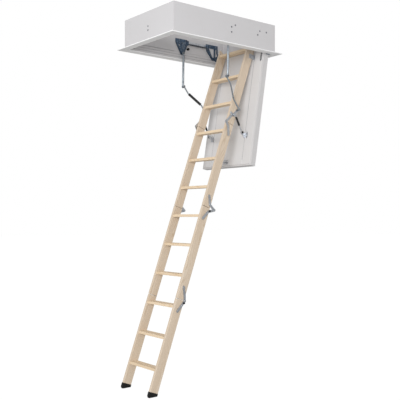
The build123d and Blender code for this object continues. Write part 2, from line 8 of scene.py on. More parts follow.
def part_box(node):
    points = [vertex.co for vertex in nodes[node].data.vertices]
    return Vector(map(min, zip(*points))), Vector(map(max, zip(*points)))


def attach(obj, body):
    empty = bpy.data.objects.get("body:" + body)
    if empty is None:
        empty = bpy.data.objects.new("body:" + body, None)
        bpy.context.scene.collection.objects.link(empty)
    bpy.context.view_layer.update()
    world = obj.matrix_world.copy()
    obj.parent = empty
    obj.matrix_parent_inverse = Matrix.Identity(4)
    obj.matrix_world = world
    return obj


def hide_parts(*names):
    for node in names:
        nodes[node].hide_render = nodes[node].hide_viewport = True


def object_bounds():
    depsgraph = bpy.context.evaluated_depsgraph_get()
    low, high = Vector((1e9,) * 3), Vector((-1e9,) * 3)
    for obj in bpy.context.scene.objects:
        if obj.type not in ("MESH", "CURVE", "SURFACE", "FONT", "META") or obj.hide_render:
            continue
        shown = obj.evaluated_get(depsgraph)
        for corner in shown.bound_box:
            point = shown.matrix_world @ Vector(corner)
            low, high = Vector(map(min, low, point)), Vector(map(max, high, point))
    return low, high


# Attic ladder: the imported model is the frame, and this script adds finishes and small parts.
# Metres. +X points to the leaf's hinge end, +Y away from the viewed side, +Z up.

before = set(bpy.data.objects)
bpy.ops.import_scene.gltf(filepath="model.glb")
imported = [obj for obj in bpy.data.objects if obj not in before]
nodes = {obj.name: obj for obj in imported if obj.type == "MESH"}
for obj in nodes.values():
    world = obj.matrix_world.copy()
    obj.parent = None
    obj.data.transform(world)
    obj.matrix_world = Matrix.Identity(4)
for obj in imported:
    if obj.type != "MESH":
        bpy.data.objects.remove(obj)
cad_low, cad_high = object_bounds()

# Directions and levels shared with the CAD
ladder_slope = math.radians(70.0)
ladder_down = Vector((-math.cos(ladder_slope), 0.0, -math.sin(ladder_slope)))
ladder_back = Vector((math.sin(ladder_slope), 0.0, -math.cos(ladder_slope)))
ladder_front_x = 0.339
leaf_slope = math.radians(80.7)
leaf_down = Vector((-math.cos(leaf_slope), 0.0, -math.sin(leaf_slope)))
leaf_inward = Vector((-math.sin(leaf_slope), 0.0, math.cos(leaf_slope)))
hinge_pin = Vector((0.480, 0.0, 0.014))
floor_level = cad_low.z
near_far = (-1.0, 1.0)


# ---------------------------------------------------------------- node helpers


def link(tree, source, target):
    tree.links.new(source, target)


def add_node(tree, kind, settings=None, values=None):
    """A node with its own settings and the values of its unlinked sockets."""
    made = tree.nodes.new("ShaderNode" + kind)
    for name, value in (settings or {}).items():
        setattr(made, name, value)
    for name, value in (values or {}).items():
        made.inputs[name].default_value = value
    return made


def math_node(tree, operation, first, second=None, clamp=False):
    """One maths step; a number goes on the socket and an output is linked to it."""
    made = add_node(tree, "Math", {"operation": operation, "use_clamp": clamp})
    for index, value in enumerate((first, second)):
        if value is None:
            continue
        if isinstance(value, (int, float)):
            made.inputs[index].default_value = value
        else:
            link(tree, value, made.inputs[index])
    return made.outputs[0]


def times(tree, first, second, clamp=False):
    return math_node(tree, "MULTIPLY", first, second, clamp)


def plus(tree, first, second, clamp=False):
    return math_node(tree, "ADD", first, second, clamp)


def noise(tree, vector, scale, detail=2.0, roughness=0.5, distortion=0.0):
    made = add_node(
        tree,
        "TexNoise",
        values={"Scale": scale, "Detail": detail, "Roughness": roughness, "Distortion": distortion},
    )
    link(tree, vector, made.inputs["Vector"])
    return made.outputs["Fac"]


def stretched(tree, vector, scale):
    made = add_node(tree, "Mapping", values={"Scale": scale})
    link(tree, vector, made.inputs["Vector"])
    return made.outputs["Vector"]


def ramp(tree, value, low, high):
    """Value brought from low..high to 0..1, clamped."""
    made = add_node(tree, "MapRange", {"clamp": True}, {"From Min": low, "From Max": high})
    link(tree, value, made.inputs["Value"])
    return made.outputs["Result"]


def blend_colours(tree, factor, first, second):
    made = add_node(tree, "Mix", {"data_type": "RGBA"})
    link(tree, factor, made.inputs["Factor"])
    link(tree, first, made.inputs[6])
    link(tree, second, made.inputs[7])
    return made.outputs[2]


def new_group(name, inputs, outputs):
    """An empty node group with named sockets; returns its tree and its two end nodes."""
    tree = bpy.data.node_groups.new(name, "ShaderNodeTree")
    for label, kind, default in inputs:
        made = tree.interface.new_socket(label, in_out="INPUT", socket_type="NodeSocket" + kind)
        if default is not None:
            made.default_value = default
    for label, kind in outputs:
        tree.interface.new_socket(label, in_out="OUTPUT", socket_type="NodeSocket" + kind)
    return tree, tree.nodes.new("NodeGroupInput"), tree.nodes.new("NodeGroupOutput")


# ---------------------------------------------------------------- shared effects


def timber_group():
    """Planed softwood: growth rings that wander along the board, fibres and a slow change of tone."""
    tree, given, result = new_group(
        "timber",
        (
            ("Grain", "Vector", None),
            ("Pale", "Color", (0.8, 0.65, 0.45, 1.0)),
            ("Deep", "Color", (0.6, 0.4, 0.22, 1.0)),
            ("Ring Count", "Float", 190.0),
            ("Figure", "Float", 0.5),
        ),
        (("Color", "Color"), ("Roughness", "Float"), ("Height", "Float")),
    )
    grain = given.outputs["Grain"]
    wander = noise(tree, stretched(tree, grain, (1.6, 9.0, 9.0)), 1.0, 2.0)
    parts = add_node(tree, "SeparateXYZ")
    link(tree, grain, parts.inputs[0])
    across = plus(tree, parts.outputs["Y"], times(tree, parts.outputs["Z"], 0.45))
    across = plus(tree, across, times(tree, wander, 0.085))
    turns = times(tree, across, given.outputs["Ring Count"])
    wave = math_node(tree, "SINE", times(tree, turns, 2 * math.pi))
    rings = math_node(tree, "POWER", ramp(tree, wave, -1.0, 1.0), 2.5)
    fibres = noise(tree, stretched(tree, grain, (14.0, 900.0, 900.0)), 1.0, 3.0, 0.6)
    flecks = ramp(tree, noise(tree, stretched(tree, grain, (45.0, 2600.0, 2600.0)), 1.0, 1.0), 0.62, 0.72)
    tone = ramp(tree, noise(tree, stretched(tree, grain, (1.1, 16.0, 16.0)), 1.0, 2.0), 0.3, 0.7)
    figure = times(tree, rings, given.outputs["Figure"])
    shade = plus(tree, figure, times(tree, tone, 0.35))
    shade = plus(tree, shade, times(tree, fibres, 0.3))
    shade = plus(tree, shade, times(tree, flecks, 0.18))
    shade = math_node(tree, "SUBTRACT", shade, 0.2, clamp=True)
    colour = blend_colours(tree, shade, given.outputs["Pale"], given.outputs["Deep"])
    link(tree, colour, result.inputs["Color"])
    rough = plus(tree, times(tree, fibres, 0.2), 0.42)
    rough = math_node(tree, "SUBTRACT", rough, times(tree, rings, 0.06))
    link(tree, rough, result.inputs["Roughness"])
    height = plus(tree, times(tree, fibres, 0.7), times(tree, rings, 0.3))
    link(tree, height, result.inputs["Height"])
    return tree


def coating_group():
    """Satin coated board: fine rolled texture, a slow change of tone and soft handling marks."""
    tree, given, result = new_group(
        "board_coating",
        (
            ("Place", "Vector", None),
            ("Clean", "Color", (0.7, 0.7, 0.7, 1.0)),
            ("Soiled", "Color", (0.6, 0.58, 0.56, 1.0)),
            ("Marks", "Float", 0.3),
        ),
        (("Color", "Color"), ("Roughness", "Float"), ("Height", "Float")),
    )
    place = given.outputs["Place"]
    tone = ramp(tree, noise(tree, place, 2.2, 3.0), 0.35, 0.7)
    smudges = ramp(tree, noise(tree, place, 11.0, 4.0, 0.6, 0.6), 0.56, 0.78)
    specks = ramp(tree, noise(tree, place, 260.0, 1.0), 0.7, 0.76)
    rubs = ramp(tree, noise(tree, stretched(tree, place, (4.0, 4.0, 70.0)), 1.0, 3.0), 0.6, 0.75)
    soil = plus(tree, times(tree, tone, 0.35), times(tree, smudges, 0.4))
    soil = plus(tree, soil, times(tree, specks, 0.25))
    soil = plus(tree, soil, times(tree, rubs, 0.2))
    soil = times(tree, soil, given.outputs["Marks"], clamp=True)
    colour = blend_colours(tree, soil, given.outputs["Clean"], given.outputs["Soiled"])
    link(tree, colour, result.inputs["Color"])
    peel = noise(tree, place, 420.0, 2.0)
    rough = plus(tree, times(tree, peel, 0.1), 0.36)
    link(tree, plus(tree, rough, times(tree, smudges, 0.12)), result.inputs["Roughness"])
    link(tree, plus(tree, peel, times(tree, specks, 0.4)), result.inputs["Height"])
    return tree


def plating_group():
    """Plated or blued steel: crystal patches, fine drawing lines, cloudy tone and worn spots."""
    tree, given, result = new_group(
        "steel_plating",
        (
            ("Place", "Vector", None),
            ("Bright", "Color", (0.7, 0.7, 0.7, 1.0)),
            ("Dull", "Color", (0.4, 0.4, 0.4, 1.0)),
            ("Bare", "Color", (0.75, 0.75, 0.74, 1.0)),
            ("Crystal Size", "Float", 140.0),
            ("Worn", "Float", 0.3),
            ("Smooth", "Float", 0.3),
        ),
        (("Color", "Color"), ("Roughness", "Float"), ("Height", "Float")),
    )
    place = given.outputs["Place"]
    crystals = add_node(tree, "TexVoronoi")
    link(tree, place, crystals.inputs["Vector"])
    link(tree, given.outputs["Crystal Size"], crystals.inputs["Scale"])
    facets = add_node(tree, "SeparateColor")
    link(tree, crystals.outputs["Color"], facets.inputs[0])
    clouds = noise(tree, place, 28.0, 4.0, 0.6, 0.4)
    mixed = plus(tree, times(tree, facets.outputs[0], 0.35), clouds)
    shade = ramp(tree, mixed, 0.4, 1.0)
    plated = blend_colours(tree, shade, given.outputs["Bright"], given.outputs["Dull"])
    edge = add_node(tree, "NewGeometry")
    rubbed = ramp(tree, edge.outputs["Pointiness"], 0.52, 0.62)
    rubbed = times(tree, rubbed, ramp(tree, noise(tree, place, 90.0, 3.0), 0.4, 0.6))
    chips = ramp(tree, noise(tree, place, 170.0, 2.0), 0.68, 0.72)
    worn = times(tree, plus(tree, rubbed, chips), given.outputs["Worn"], clamp=True)
    link(tree, blend_colours(tree, worn, plated, given.outputs["Bare"]), result.inputs["Color"])
    scratches = noise(tree, stretched(tree, place, (900.0, 900.0, 30.0)), 1.0, 2.0)
    rough = plus(tree, given.outputs["Smooth"], times(tree, shade, 0.16))
    rough = plus(tree, rough, times(tree, scratches, 0.1))
    link(tree, rough, result.inputs["Roughness"])
    height = plus(tree, times(tree, scratches, 0.5), times(tree, clouds, 0.5))
    link(tree, height, result.inputs["Height"])
    return tree


def moulded_group():
    """Moulded rubber or plastic: pebbled skin with pale dust in it."""
    tree, given, result = new_group(
        "moulded_skin",
        (
            ("Place", "Vector", None),
            ("Base", "Color", (0.02, 0.02, 0.02, 1.0)),
            ("Dust", "Color", (0.2, 0.19, 0.18, 1.0)),
            ("Pebble Size", "Float", 900.0),
            ("Dusty", "Float", 0.3),
        ),
        (("Color", "Color"), ("Roughness", "Float"), ("Height", "Float")),
    )
    place = given.outputs["Place"]
    pebbles = add_node(tree, "TexVoronoi", {"feature": "SMOOTH_F1"})
    link(tree, place, pebbles.inputs["Vector"])
    link(tree, given.outputs["Pebble Size"], pebbles.inputs["Scale"])
    patches = ramp(tree, noise(tree, place, 60.0, 4.0, 0.65), 0.45, 0.8)
    pits = ramp(tree, pebbles.outputs["Distance"], 0.25, 0.7)
    dust = times(tree, patches, plus(tree, times(tree, pits, 0.6), 0.4))
    dust = times(tree, dust, given.outputs["Dusty"], clamp=True)
    colour = blend_colours(tree, dust, given.outputs["Base"], given.outputs["Dust"])
    link(tree, colour, result.inputs["Color"])
    rough = plus(tree, times(tree, patches, 0.22), 0.48)
    link(tree, rough, result.inputs["Roughness"])
    link(tree, math_node(tree, "SUBTRACT", 1.0, pits), result.inputs["Height"])
    return tree


groups = {
    "timber": timber_group(),
    "coating": coating_group(),
    "plating": plating_group(),
    "moulded": moulded_group(),
}


# ---------------------------------------------------------------- finishes


def colour(red, green, blue):
    return (red, green, blue, 1.0)


def finish(name, group, values, shader, bump, turn=(0.0, 0.0, 0.0)):
    """A material: its place in the piece, one shared effect with its own values, and the shader."""
    material = bpy.data.materials.new(name)
    material.use_nodes = True
    tree = material.node_tree
    principled = tree.nodes["Principled BSDF"]
    for label, value in shader.items():
        principled.inputs[label].default_value = value
    place = add_node(tree, "TexCoord")
    turned = add_node(tree, "Mapping", values={"Rotation": turn})
    link(tree, place.outputs["Object"], turned.inputs["Vector"])
    effect = tree.nodes.new("ShaderNodeGroup")
    effect.node_tree = groups[group]
    link(tree, turned.outputs["Vector"], effect.inputs[0])
    for label, value in values.items():
        effect.inputs[label].default_value = value
    link(tree, effect.outputs["Color"], principled.inputs["Base Color"])
    link(tree, effect.outputs["Roughness"], principled.inputs["Roughness"])
    relief = add_node(tree, "Bump", values={"Strength": bump[0], "Distance": bump[1]})
    link(tree, effect.outputs["Height"], relief.inputs["Height"])
    link(tree, relief.outputs["Normal"], principled.inputs["Normal"])
    return material


slope_turn = (0.0, math.pi + ladder_slope, 0.0)
tread_turn = (0.0, 0.0, -math.pi / 2)

coated = {"Specular IOR Level": 0.35}
steel = {"Metallic": 1.0}
painted_steel = {"Metallic": 0.75, "Specular IOR Level": 0.5}
oiled = {"Specular IOR Level": 0.3}

finishes = {
    "casing_white": finish(
        "casing_coating",
        "coating",
        {"Clean": colour(0.60, 0.59, 0.60), "Soiled": colour(0.50, 0.48, 0.47), "Marks": 0.3},
        coated,
        (0.12, 0.0004),
    ),
    "trim_white": finish(
        "trim_paint",
        "coating",
        {"Clean": colour(0.91, 0.91, 0.91), "Soiled": colour(0.754, 0.741, 0.728), "Marks": 0.25},
        coated,
        (0.1, 0.0003),
    ),
    "leaf_white": finish(
        "leaf_coating",
        "coating",
        {"Clean": colour(0.64, 0.63, 0.63), "Soiled": colour(0.54, 0.52, 0.51), "Marks": 0.3},
        coated,
        (0.12, 0.0004),
    ),
    "leaf_edge": finish(
        "leaf_edge_band",
        "coating",
        {"Clean": colour(0.60, 0.59, 0.59), "Soiled": colour(0.50, 0.48, 0.47), "Marks": 0.4},
        coated,
        (0.15, 0.0004),
    ),
    # This grey also serves as painted shade: the strips in the casing's lower grooves and the two lines
    # down the leaf
    "seal_rubber": finish(
        "seal_rubber",
        "moulded",
        {"Base": colour(0.36, 0.36, 0.37), "Dust": colour(0.5, 0.49, 0.48), "Dusty": 0.5},
        oiled,
        (0.2, 0.0003),
    ),
    "blued_steel": finish(
        "blued_steel",
        "plating",
        {
            "Bright": colour(0.10, 0.15, 0.22),
            "Dull": colour(0.045, 0.07, 0.11),
            "Bare": colour(0.42, 0.46, 0.5),
            "Crystal Size": 160.0,
            "Worn": 0.5,
            "Smooth": 0.28,
        },
        painted_steel,
        (0.15, 0.0004),
    ),
    "dark_steel": finish(
        "dark_steel",
        "plating",
        {
            "Bright": colour(0.06, 0.075, 0.1),
            "Dull": colour(0.025, 0.03, 0.04),
            "Bare": colour(0.3, 0.31, 0.33),
            "Crystal Size": 200.0,
            "Worn": 0.4,
            "Smooth": 0.3,
        },
        painted_steel,
        (0.15, 0.0004),
    ),
    "arm_steel": finish(
        "arm_plating",
        "plating",
        {
            "Bright": colour(0.34, 0.38, 0.42),
            "Dull": colour(0.2, 0.235, 0.27),
            "Bare": colour(0.6, 0.62, 0.64),
            "Crystal Size": 120.0,
            "Worn": 0.35,
            "Smooth": 0.26,
        },
        painted_steel,
        (0.12, 0.0004),
    ),
    "zinc_steel": finish(
        "zinc_plating",
        "plating",
        {
            "Bright": colour(0.66, 0.68, 0.71),
            "Dull": colour(0.42, 0.44, 0.47),
            "Bare": colour(0.8, 0.8, 0.8),
            "Crystal Size": 150.0,
            "Worn": 0.3,
            "Smooth": 0.26,
        },
        steel,
        (0.15, 0.0004),
    ),
    "bolt_steel": finish(
        "bolt_plating",
        "plating",
        {
            "Bright": colour(0.225, 0.236, 0.257),
            "Dull": colour(0.105, 0.11, 0.125),
            "Bare": colour(0.413, 0.418, 0.437),
            "Crystal Size": 300.0,
            "Worn": 0.4,
            "Smooth": 0.3,
        },
        steel,
        (0.15, 0.0003),
    ),
    "black_rubber": finish(
        "black_rubber",
        "moulded",
        {"Base": colour(0.005, 0.005, 0.005), "Dust": colour(0.048, 0.044, 0.044), "Dusty": 0.35},
        oiled,
        (0.35, 0.0005),
    ),
    "black_plastic": finish(
        "black_grip",
        "moulded",
        {
            "Base": colour(0.014, 0.014, 0.016),
            "Dust": colour(0.1, 0.1, 0.1),
            "Pebble Size": 1400.0,
            "Dusty": 0.25,
        },
        oiled,
        (0.25, 0.0003),
    ),
    "stringer_timber": finish(
        "stringer_pine",
        "timber",
        {"Pale": colour(0.681, 0.576, 0.462), "Deep": colour(0.478, 0.346, 0.22), "Figure": 0.42},
        oiled,
        (0.25, 0.0004),
        slope_turn,
    ),
    "tread_timber": finish(
        "tread_pine",
        "timber",
        {
            "Pale": colour(0.80, 0.65, 0.47),
            "Deep": colour(0.58, 0.41, 0.24),
            "Ring Count": 230.0,
            "Figure": 0.4,
        },
        oiled,
        (0.25, 0.0004),
        tread_turn,
    ),
}


# ---------------------------------------------------------------- CAD nodes

# Walls drilled for bolts, whose broad faces are kept plain
drilled_walls = ("casing_side_near", "casing_side_far", "casing_end_latch")

# How far each finish's edges are rounded
edge_rounding = {
    "casing_white": 0.0012,
    "trim_white": 0.0012,
    "leaf_white": 0.0012,
    "leaf_edge": 0.0012,
    "blued_steel": 0.0005,
    "dark_steel": 0.0005,
    "zinc_steel": 0.0005,
    "stringer_timber": 0.0006,
    "tread_timber": 0.0005,
    "black_rubber": 0.0012,
}


def dress_node(node):
    """Gives a CAD node the finish of its slot, and rounds its edges with modifiers."""
    slot = node.data.materials[0].name.split(".")[0]
    for index in range(len(node.data.materials)):
        node.data.materials[index] = finishes[slot]
    rounding = edge_rounding.get(slot)
    if rounding is None or node.name in drilled_walls:
        return
    weld = node.modifiers.new("join_faces", "WELD")
    weld.merge_threshold = 0.00001
    soften = node.modifiers.new("soft_edges", "BEVEL")
    soften.width = rounding
    soften.segments = 2
    soften.limit_method = "ANGLE"
    soften.angle_limit = math.radians(40.0)
    soften.use_clamp_overlap = True
    level = node.modifiers.new("level_shading", "WEIGHTED_NORMAL")
    level.weight = 100


for cad_node in nodes.values():
    dress_node(cad_node)


# ---------------------------------------------------------------- piece building

# Edges that turn less than this are shaded smooth
smooth_limit = math.radians(35.0)


def ladder_point(station, depth, y):
    """A point given down the slope, back from the ladder's front face, and across."""
    return Vector((ladder_front_x, y, 0.0)) + ladder_down * station + ladder_back * depth


def leaf_point(along, inward, y):
    """A point given down the leaf from its hinge pin, towards the ladder, and across."""
    return hinge_pin + leaf_down * along + leaf_inward * inward + Vector((0.0, y, 0.0))


def new_piece(name, body, slot, build, *replaced):
    """Makes one mesh from a build function, gives it its finish and seats it on its body."""
    shape = bmesh.new()
    build(shape)
    bmesh.ops.recalc_face_normals(shape, faces=shape.faces)
    for face in shape.faces:
        face.smooth = True
    for edge in shape.edges:
        edge.smooth = len(edge.link_faces) == 2 and edge.calc_face_angle(0.0) < smooth_limit
    mesh = bpy.data.meshes.new(name)
    shape.to_mesh(mesh)
    shape.free()
    mesh.materials.append(finishes[slot])
    piece = bpy.data.objects.new(name, mesh)
    bpy.context.scene.collection.objects.link(piece)
    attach(piece, body)
    if replaced:
        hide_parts(*replaced)
    return piece


def across_axis(axis):
    """Two directions square to an axis and to each other."""
    side = axis.orthogonal().normalized()
    return side, axis.normalized().cross(side)


def ring_at(shape, centre, side, up, outline):
    return [shape.verts.new(centre + side * x + up * y) for x, y in outline]


def join_rings(shape, rings, closed=False):
    pairs = list(zip(rings, rings[1:]))
    if closed:
        pairs.append((rings[-1], rings[0]))
    for first, second in pairs:
        count = len(first)
        for step in range(count):
            after = (step + 1) % count
            shape.faces.new((first[step], first[after], second[after], second[step]))


def close_ends(shape, rings):
    shape.faces.new(list(reversed(rings[0])))
    shape.faces.new(rings[-1])


def circle(radius, sides=24):
    turns = [2 * math.pi * step / sides for step in range(sides)]
    return [(radius * math.cos(turn), radius * math.sin(turn)) for turn in turns]


def lathe(shape, origin, axis, profile, sides=24, hollow=False):
    """Turns a run of (distance, radius) pairs about an axis; hollow joins the last to the first."""
    side, up = across_axis(axis)
    along = axis.normalized()
    rings = []
    for far, radius in profile:
        rings.append(ring_at(shape, origin + along * far, side, up, circle(radius, sides)))
    join_rings(shape, rings, hollow)
    if not hollow:
        close_ends(shape, rings)


def prism(shape, outline, offset):
    """A closed solid from a flat outline of points and the offset of its other face."""
    near = [shape.verts.new(point) for point in outline]
    far = [shape.verts.new(point + offset) for point in outline]
    join_rings(shape, [near, far])
    close_ends(shape, [near, far])


def sweep(shape, points, radius, sides=8):
    """A round bar along a run of points, its ends closed."""
    side = (points[1] - points[0]).orthogonal().normalized()
    rings = []
    for index, point in enumerate(points):
        ahead = points[min(index + 1, len(points) - 1)] - points[max(index - 1, 0)]
        ahead.normalize()
        side = (side - ahead * side.dot(ahead)).normalized()
        rings.append(ring_at(shape, point, side, ahead.cross(side), circle(radius, sides)))
    join_rings(shape, rings)
    close_ends(shape, rings)


# ---------------------------------------------------------------- screws and bolts


def cross_recess(reach, half_width):
    """Outline of a cross recess, twelve points counter-clockwise."""
    points = []
    for quarter in range(4):
        turn = Matrix.Rotation(quarter * math.pi / 2, 2)
        for x, y in ((reach, -half_width), (reach, half_width), (half_width, half_width)):
            points.append(tuple(turn @ Vector((x, y))))
    return points


def hex_recess(reach):
    """Outline of a hexagon with a point at the middle of each side."""
    corners = circle(reach, 6)
    points = []
    for index, corner in enumerate(corners):
        after = corners[(index + 1) % 6]
        points.append(corner)
        points.append(((corner[0] + after[0]) / 2, (corner[1] + after[1]) / 2))
    return points


# Share of the head's height, and share of its radius there
head_dome = ((0.0, 1.0), (0.4, 1.0), (0.75, 0.9), (0.95, 0.72), (1.0, 0.6))


def head(shape, seat, axis, radius, height, recess, depth):
    """A domed head with a driver recess, standing on its seat."""
    side, up = across_axis(axis)
    along = axis.normalized()
    bearings = [Vector(point).normalized() for point in recess]
    rings = []
    for rise, share in head_dome:
        outline = [tuple(bearing * radius * share) for bearing in bearings]
        rings.append(ring_at(shape, seat + along * height * rise, side, up, outline))
    rings.append(ring_at(shape, seat + along * height, side, up, recess))
    rings.append(ring_at(shape, seat + along * (height - depth), side, up, recess))
    join_rings(shape, rings)
    close_ends(shape, rings)


screw_recess = cross_recess(0.0024, 0.0006)
screw_recess_depth = 0.0012
bolt_recess = hex_recess(0.0029)
bolt_recess_depth = 0.0018
bolt_head_radius = 0.0068
bolt_head_height = 0.0026


def screw(shape, seat, axis, radius=0.005, height=0.002):
    head(shape, seat, axis, radius, height, screw_recess, screw_recess_depth)


def bolt(shape, seat, axis):
    head(shape, seat, axis, bolt_head_radius, bolt_head_height, bolt_recess, bolt_recess_depth)


# Fold hinges: stations down the ladder, and screw places as (past the fold, behind the front face)
fold_stations = (0.642, 1.392, 2.180)
fold_depths = (-0.010, 0.123, 0.082)
upper_screws = (
    ((-0.091, 0.014), (-0.084, 0.066)),
    ((-0.094, 0.034), (-0.034, 0.060)),
    ((-0.101, 0.036), (-0.040, 0.068)),
)
lower_screws = (
    ((0.096, 0.050), (0.044, 0.026)),
    ((0.102, 0.030), (0.046, 0.060)),
    ((0.098, 0.038), (0.040, 0.064)),
)
upper_plate_face = 0.2034
lower_plate_face = 0.2068
rivet_face = 0.2092
rivet_dome = (
    (-0.0004, 0.0066),
    (0.0003, 0.0064),
    (0.0009, 0.0048),
    (0.0012, 0.0026),
    (0.0013, 0.0008),
)


def section_body(section):
    return "hatch" if section == 1 else f"section_{section}"


def hinge_screws(section):
    """Cross-headed screws through the hinge plates of one section."""
    places = []
    if section < 4:
        for along, depth in upper_screws[section - 1]:
            places.append((fold_stations[section - 1] + along, depth, upper_plate_face))
    if section > 1:
        for along, depth in lower_screws[section - 2]:
            places.append((fold_stations[section - 2] + along, depth, lower_plate_face))

    def build(shape):
        for station, depth, face in places:
            for way in near_far:
                seat = ladder_point(station, depth, way * face)
                screw(shape, seat, Vector((0.0, way, 0.0)))

    name = f"hinge_screw_heads_{section}"
    new_piece(name, section_body(section), "zinc_steel", build, f"hinge_screws_{section}")


def hinge_rivets(section):
    """Peened domes on the rivets that the next section's plates turn on."""
    station = fold_stations[section - 1]
    depth = fold_depths[section - 1]

    def build(shape):
        for way in near_far:
            seat = ladder_point(station, depth, way * rivet_face)
            lathe(shape, seat, Vector((0.0, way, 0.0)), rivet_dome)

    new_piece(f"hinge_rivet_domes_{section}", section_body(section), "zinc_steel", build)


# Bolts through the casing: (x, z) in the side walls, z in the latch end
arm_bolts = ((0.046, 0.152), (0.086, 0.172), (0.046, 0.110))
rear_bolts = ((0.340, 0.135), (0.364, 0.170), (0.441, 0.171))
latch_bolts = (0.129, 0.097)
casing_half_width = 0.345
casing_half_length = 0.545
bracket_inner_face = 0.3222
nut_reach = 0.0058
bolt_end_share = 0.6
# Height of each ring of a nut and its bolt end, and its share of the nut's reach
nut_rings = (
    (0.0, 1.0),
    (0.0028, 1.0),
    (0.0034, 0.86),
    (0.0034, 0.52),
    (0.0048, 0.52),
    (0.0052, 0.42),
)


def nut(shape, seat, axis):
    """A chamfered hexagon nut with the bolt's end standing out of it."""
    side, up = across_axis(axis)
    along = axis.normalized()
    corners = hex_recess(nut_reach)
    rings = []
    for rise, share in nut_rings:
        outline = [(x * share, y * share) for x, y in corners]
        if share < bolt_end_share:
            outline = [tuple(Vector(point).normalized() * nut_reach * share) for point in corners]
        rings.append(ring_at(shape, seat + along * rise, side, up, outline))
    join_rings(shape, rings)
    close_ends(shape, rings)


def casing_bolts(shape):
    """Bolt heads outside the casing, with nuts on the brackets inside its side walls."""
    for x, z in arm_bolts + rear_bolts:
        for way in near_far:
            outward = Vector((0.0, way, 0.0))
            seat = Vector((x, way * casing_half_width, z))
            bolt(shape, seat, outward)
            nut(shape, Vector((x, way * bracket_inner_face, z)), -outward)
    for z in latch_bolts:
        seat = Vector((-casing_half_length, 0.0, z))
        bolt(shape, seat, Vector((-1.0, 0.0, 0.0)))


# Fittings on the leaf, measured down it and in from its pin
lug_along = 0.7085
lug_y = 0.232
plate_on_leaf = 0.0454
strap_y = 0.293
strap_seat = 0.0424
strap_top = 0.0450
strap_half_width = 0.008
strap_start = 0.012
strap_shoulder = 0.078
strap_tip = 0.086
angle_screws = ((0.030, 0.070), (0.050, 0.088))
latch_inset_y = 0.007
latch_inset_z = 0.009


def small_screws():
    """Wood screws in the leaf's lugs, straps and angles, and in the latch case."""

    def on_leaf(shape):
        for way in near_far:
            for along in (lug_along - 0.002, lug_along + 0.030):
                screw(shape, leaf_point(along, plate_on_leaf, way * lug_y), leaf_inward, 0.0045, 0.0016)
            for along in (0.026, 0.062):
                screw(shape, leaf_point(along, strap_top, way * strap_y), leaf_inward, 0.0040, 0.0016)

    def on_angles(shape):
        for way in near_far:
            for along, inward in angle_screws:
                seat = leaf_point(along, inward, way * upper_plate_face)
                screw(shape, seat, Vector((0.0, way, 0.0)), 0.0045, 0.0018)

    def on_latch(shape):
        low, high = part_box("latch_case")
        for z in (low.z + latch_inset_z, high.z - latch_inset_z):
            for y in (low.y + latch_inset_y, high.y - latch_inset_y):
                screw(shape, Vector((high.x, y, z)), Vector((1.0, 0.0, 0.0)), 0.0034, 0.0012)

    new_piece("leaf_screws", "hatch", "zinc_steel", on_leaf)
    new_piece("angle_screws", "hatch", "zinc_steel", on_angles)
    new_piece("latch_screws", "casing", "bolt_steel", on_latch)


# ---------------------------------------------------------------- leaf fittings


def leaf_straps(shape):
    """Flat straps that tie the leaf's board to its hinge pins."""
    for way in near_far:
        middle = way * strap_y
        left = middle - strap_half_width
        right = middle + strap_half_width
        corners = (
            (strap_start, left),
            (strap_shoulder, left),
            (strap_tip, middle),
            (strap_shoulder, right),
            (strap_start, right),
        )
        outline = [leaf_point(along, strap_seat, y) for along, y in corners]
        prism(shape, outline, leaf_inward * (strap_top - strap_seat))


# Where the leaf's painted shade lines lie: ends down the leaf, sides across, the board face and the
# strips' depth
shade_line_ends = (-0.0275, 0.9475)
shade_line_sides = (0.2052, 0.2088)
shade_line_bed = 0.0402
shade_line_depth = 0.0016


def panel_shade_lines(shape):
    """Two thin grey strips down the leaf's inner board, beside the stringers: painted shade lines."""
    top, bottom = shade_line_ends
    inner, outer = shade_line_sides
    for way in near_far:
        corners = ((top, inner), (bottom, inner), (bottom, outer), (top, outer))
        outline = [leaf_point(along, shade_line_bed, way * y) for along, y in corners]
        prism(shape, outline, leaf_inward * shade_line_depth)


strut_foot = Vector((0.276, 0.0, -0.683))
washer_y = 0.2252
washer_cup = (
    (0.0, 0.0105),
    (0.0015, 0.0110),
    (0.0030, 0.0095),
    (0.0034, 0.0060),
    (0.0022, 0.0045),
    (0.0022, 0.0008),
)


def lug_washers(shape):
    """Black washers that keep the struts' eyes on their pins."""
    for way in near_far:
        pin = strut_foot + Vector((0.0, way * washer_y, 0.0))
        lathe(shape, pin, Vector((0.0, way, 0.0)), washer_cup)


# ---------------------------------------------------------------- casing fittings

groove_levels = (0.024, 0.046)
groove_half_height = 0.0018
groove_outer = (0.5268, 0.3268)
groove_inner = (0.5252, 0.3252)


def groove_shade_strips(shape):
    """Grey strips let into the two lower grooves, all round the casing's inside: painted shade that
    darkens the grooves, not seals.
    """
    corners = ((-1, -1), (1, -1), (1, 1), (-1, 1))
    profile = ((groove_outer, -1.0), (groove_outer, 1.0), (groove_inner, 1.0), (groove_inner, -1.0))
    for level in groove_levels:
        rings = []
        for half, rise in profile:
            z = level + rise * groove_half_height
            rings.append([shape.verts.new((half[0] * x, half[1] * y, z)) for x, y in corners])
        join_rings(shape, rings, closed=True)


spring_turns = 70
spring_coil = 0.0060
spring_wire = 0.0009
spring_tube_radius = 0.007
spring_inset = 0.001
spring_hook_share = 12.0
steps_per_turn = 10


def closing_springs(shape):
    """Close-wound pull springs between the brackets, drawn in to a hook at each end."""
    low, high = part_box("spring_tubes")
    height = (low.z + high.z) / 2
    side_y = high.y - spring_tube_radius
    start = low.x + spring_inset
    length = high.x - low.x - 2 * spring_inset
    steps = spring_turns * steps_per_turn
    for way in near_far:
        points = []
        for step in range(steps + 1):
            share = step / steps
            draw = min(1.0, spring_hook_share * share, spring_hook_share * (1.0 - share))
            coil = spring_coil * (0.25 + 0.75 * draw)
            turn = 2 * math.pi * spring_turns * share
            y = way * side_y + coil * math.cos(turn)
            points.append(Vector((start + length * share, y, height + coil * math.sin(turn))))
        sweep(shape, points, spring_wire, 6)


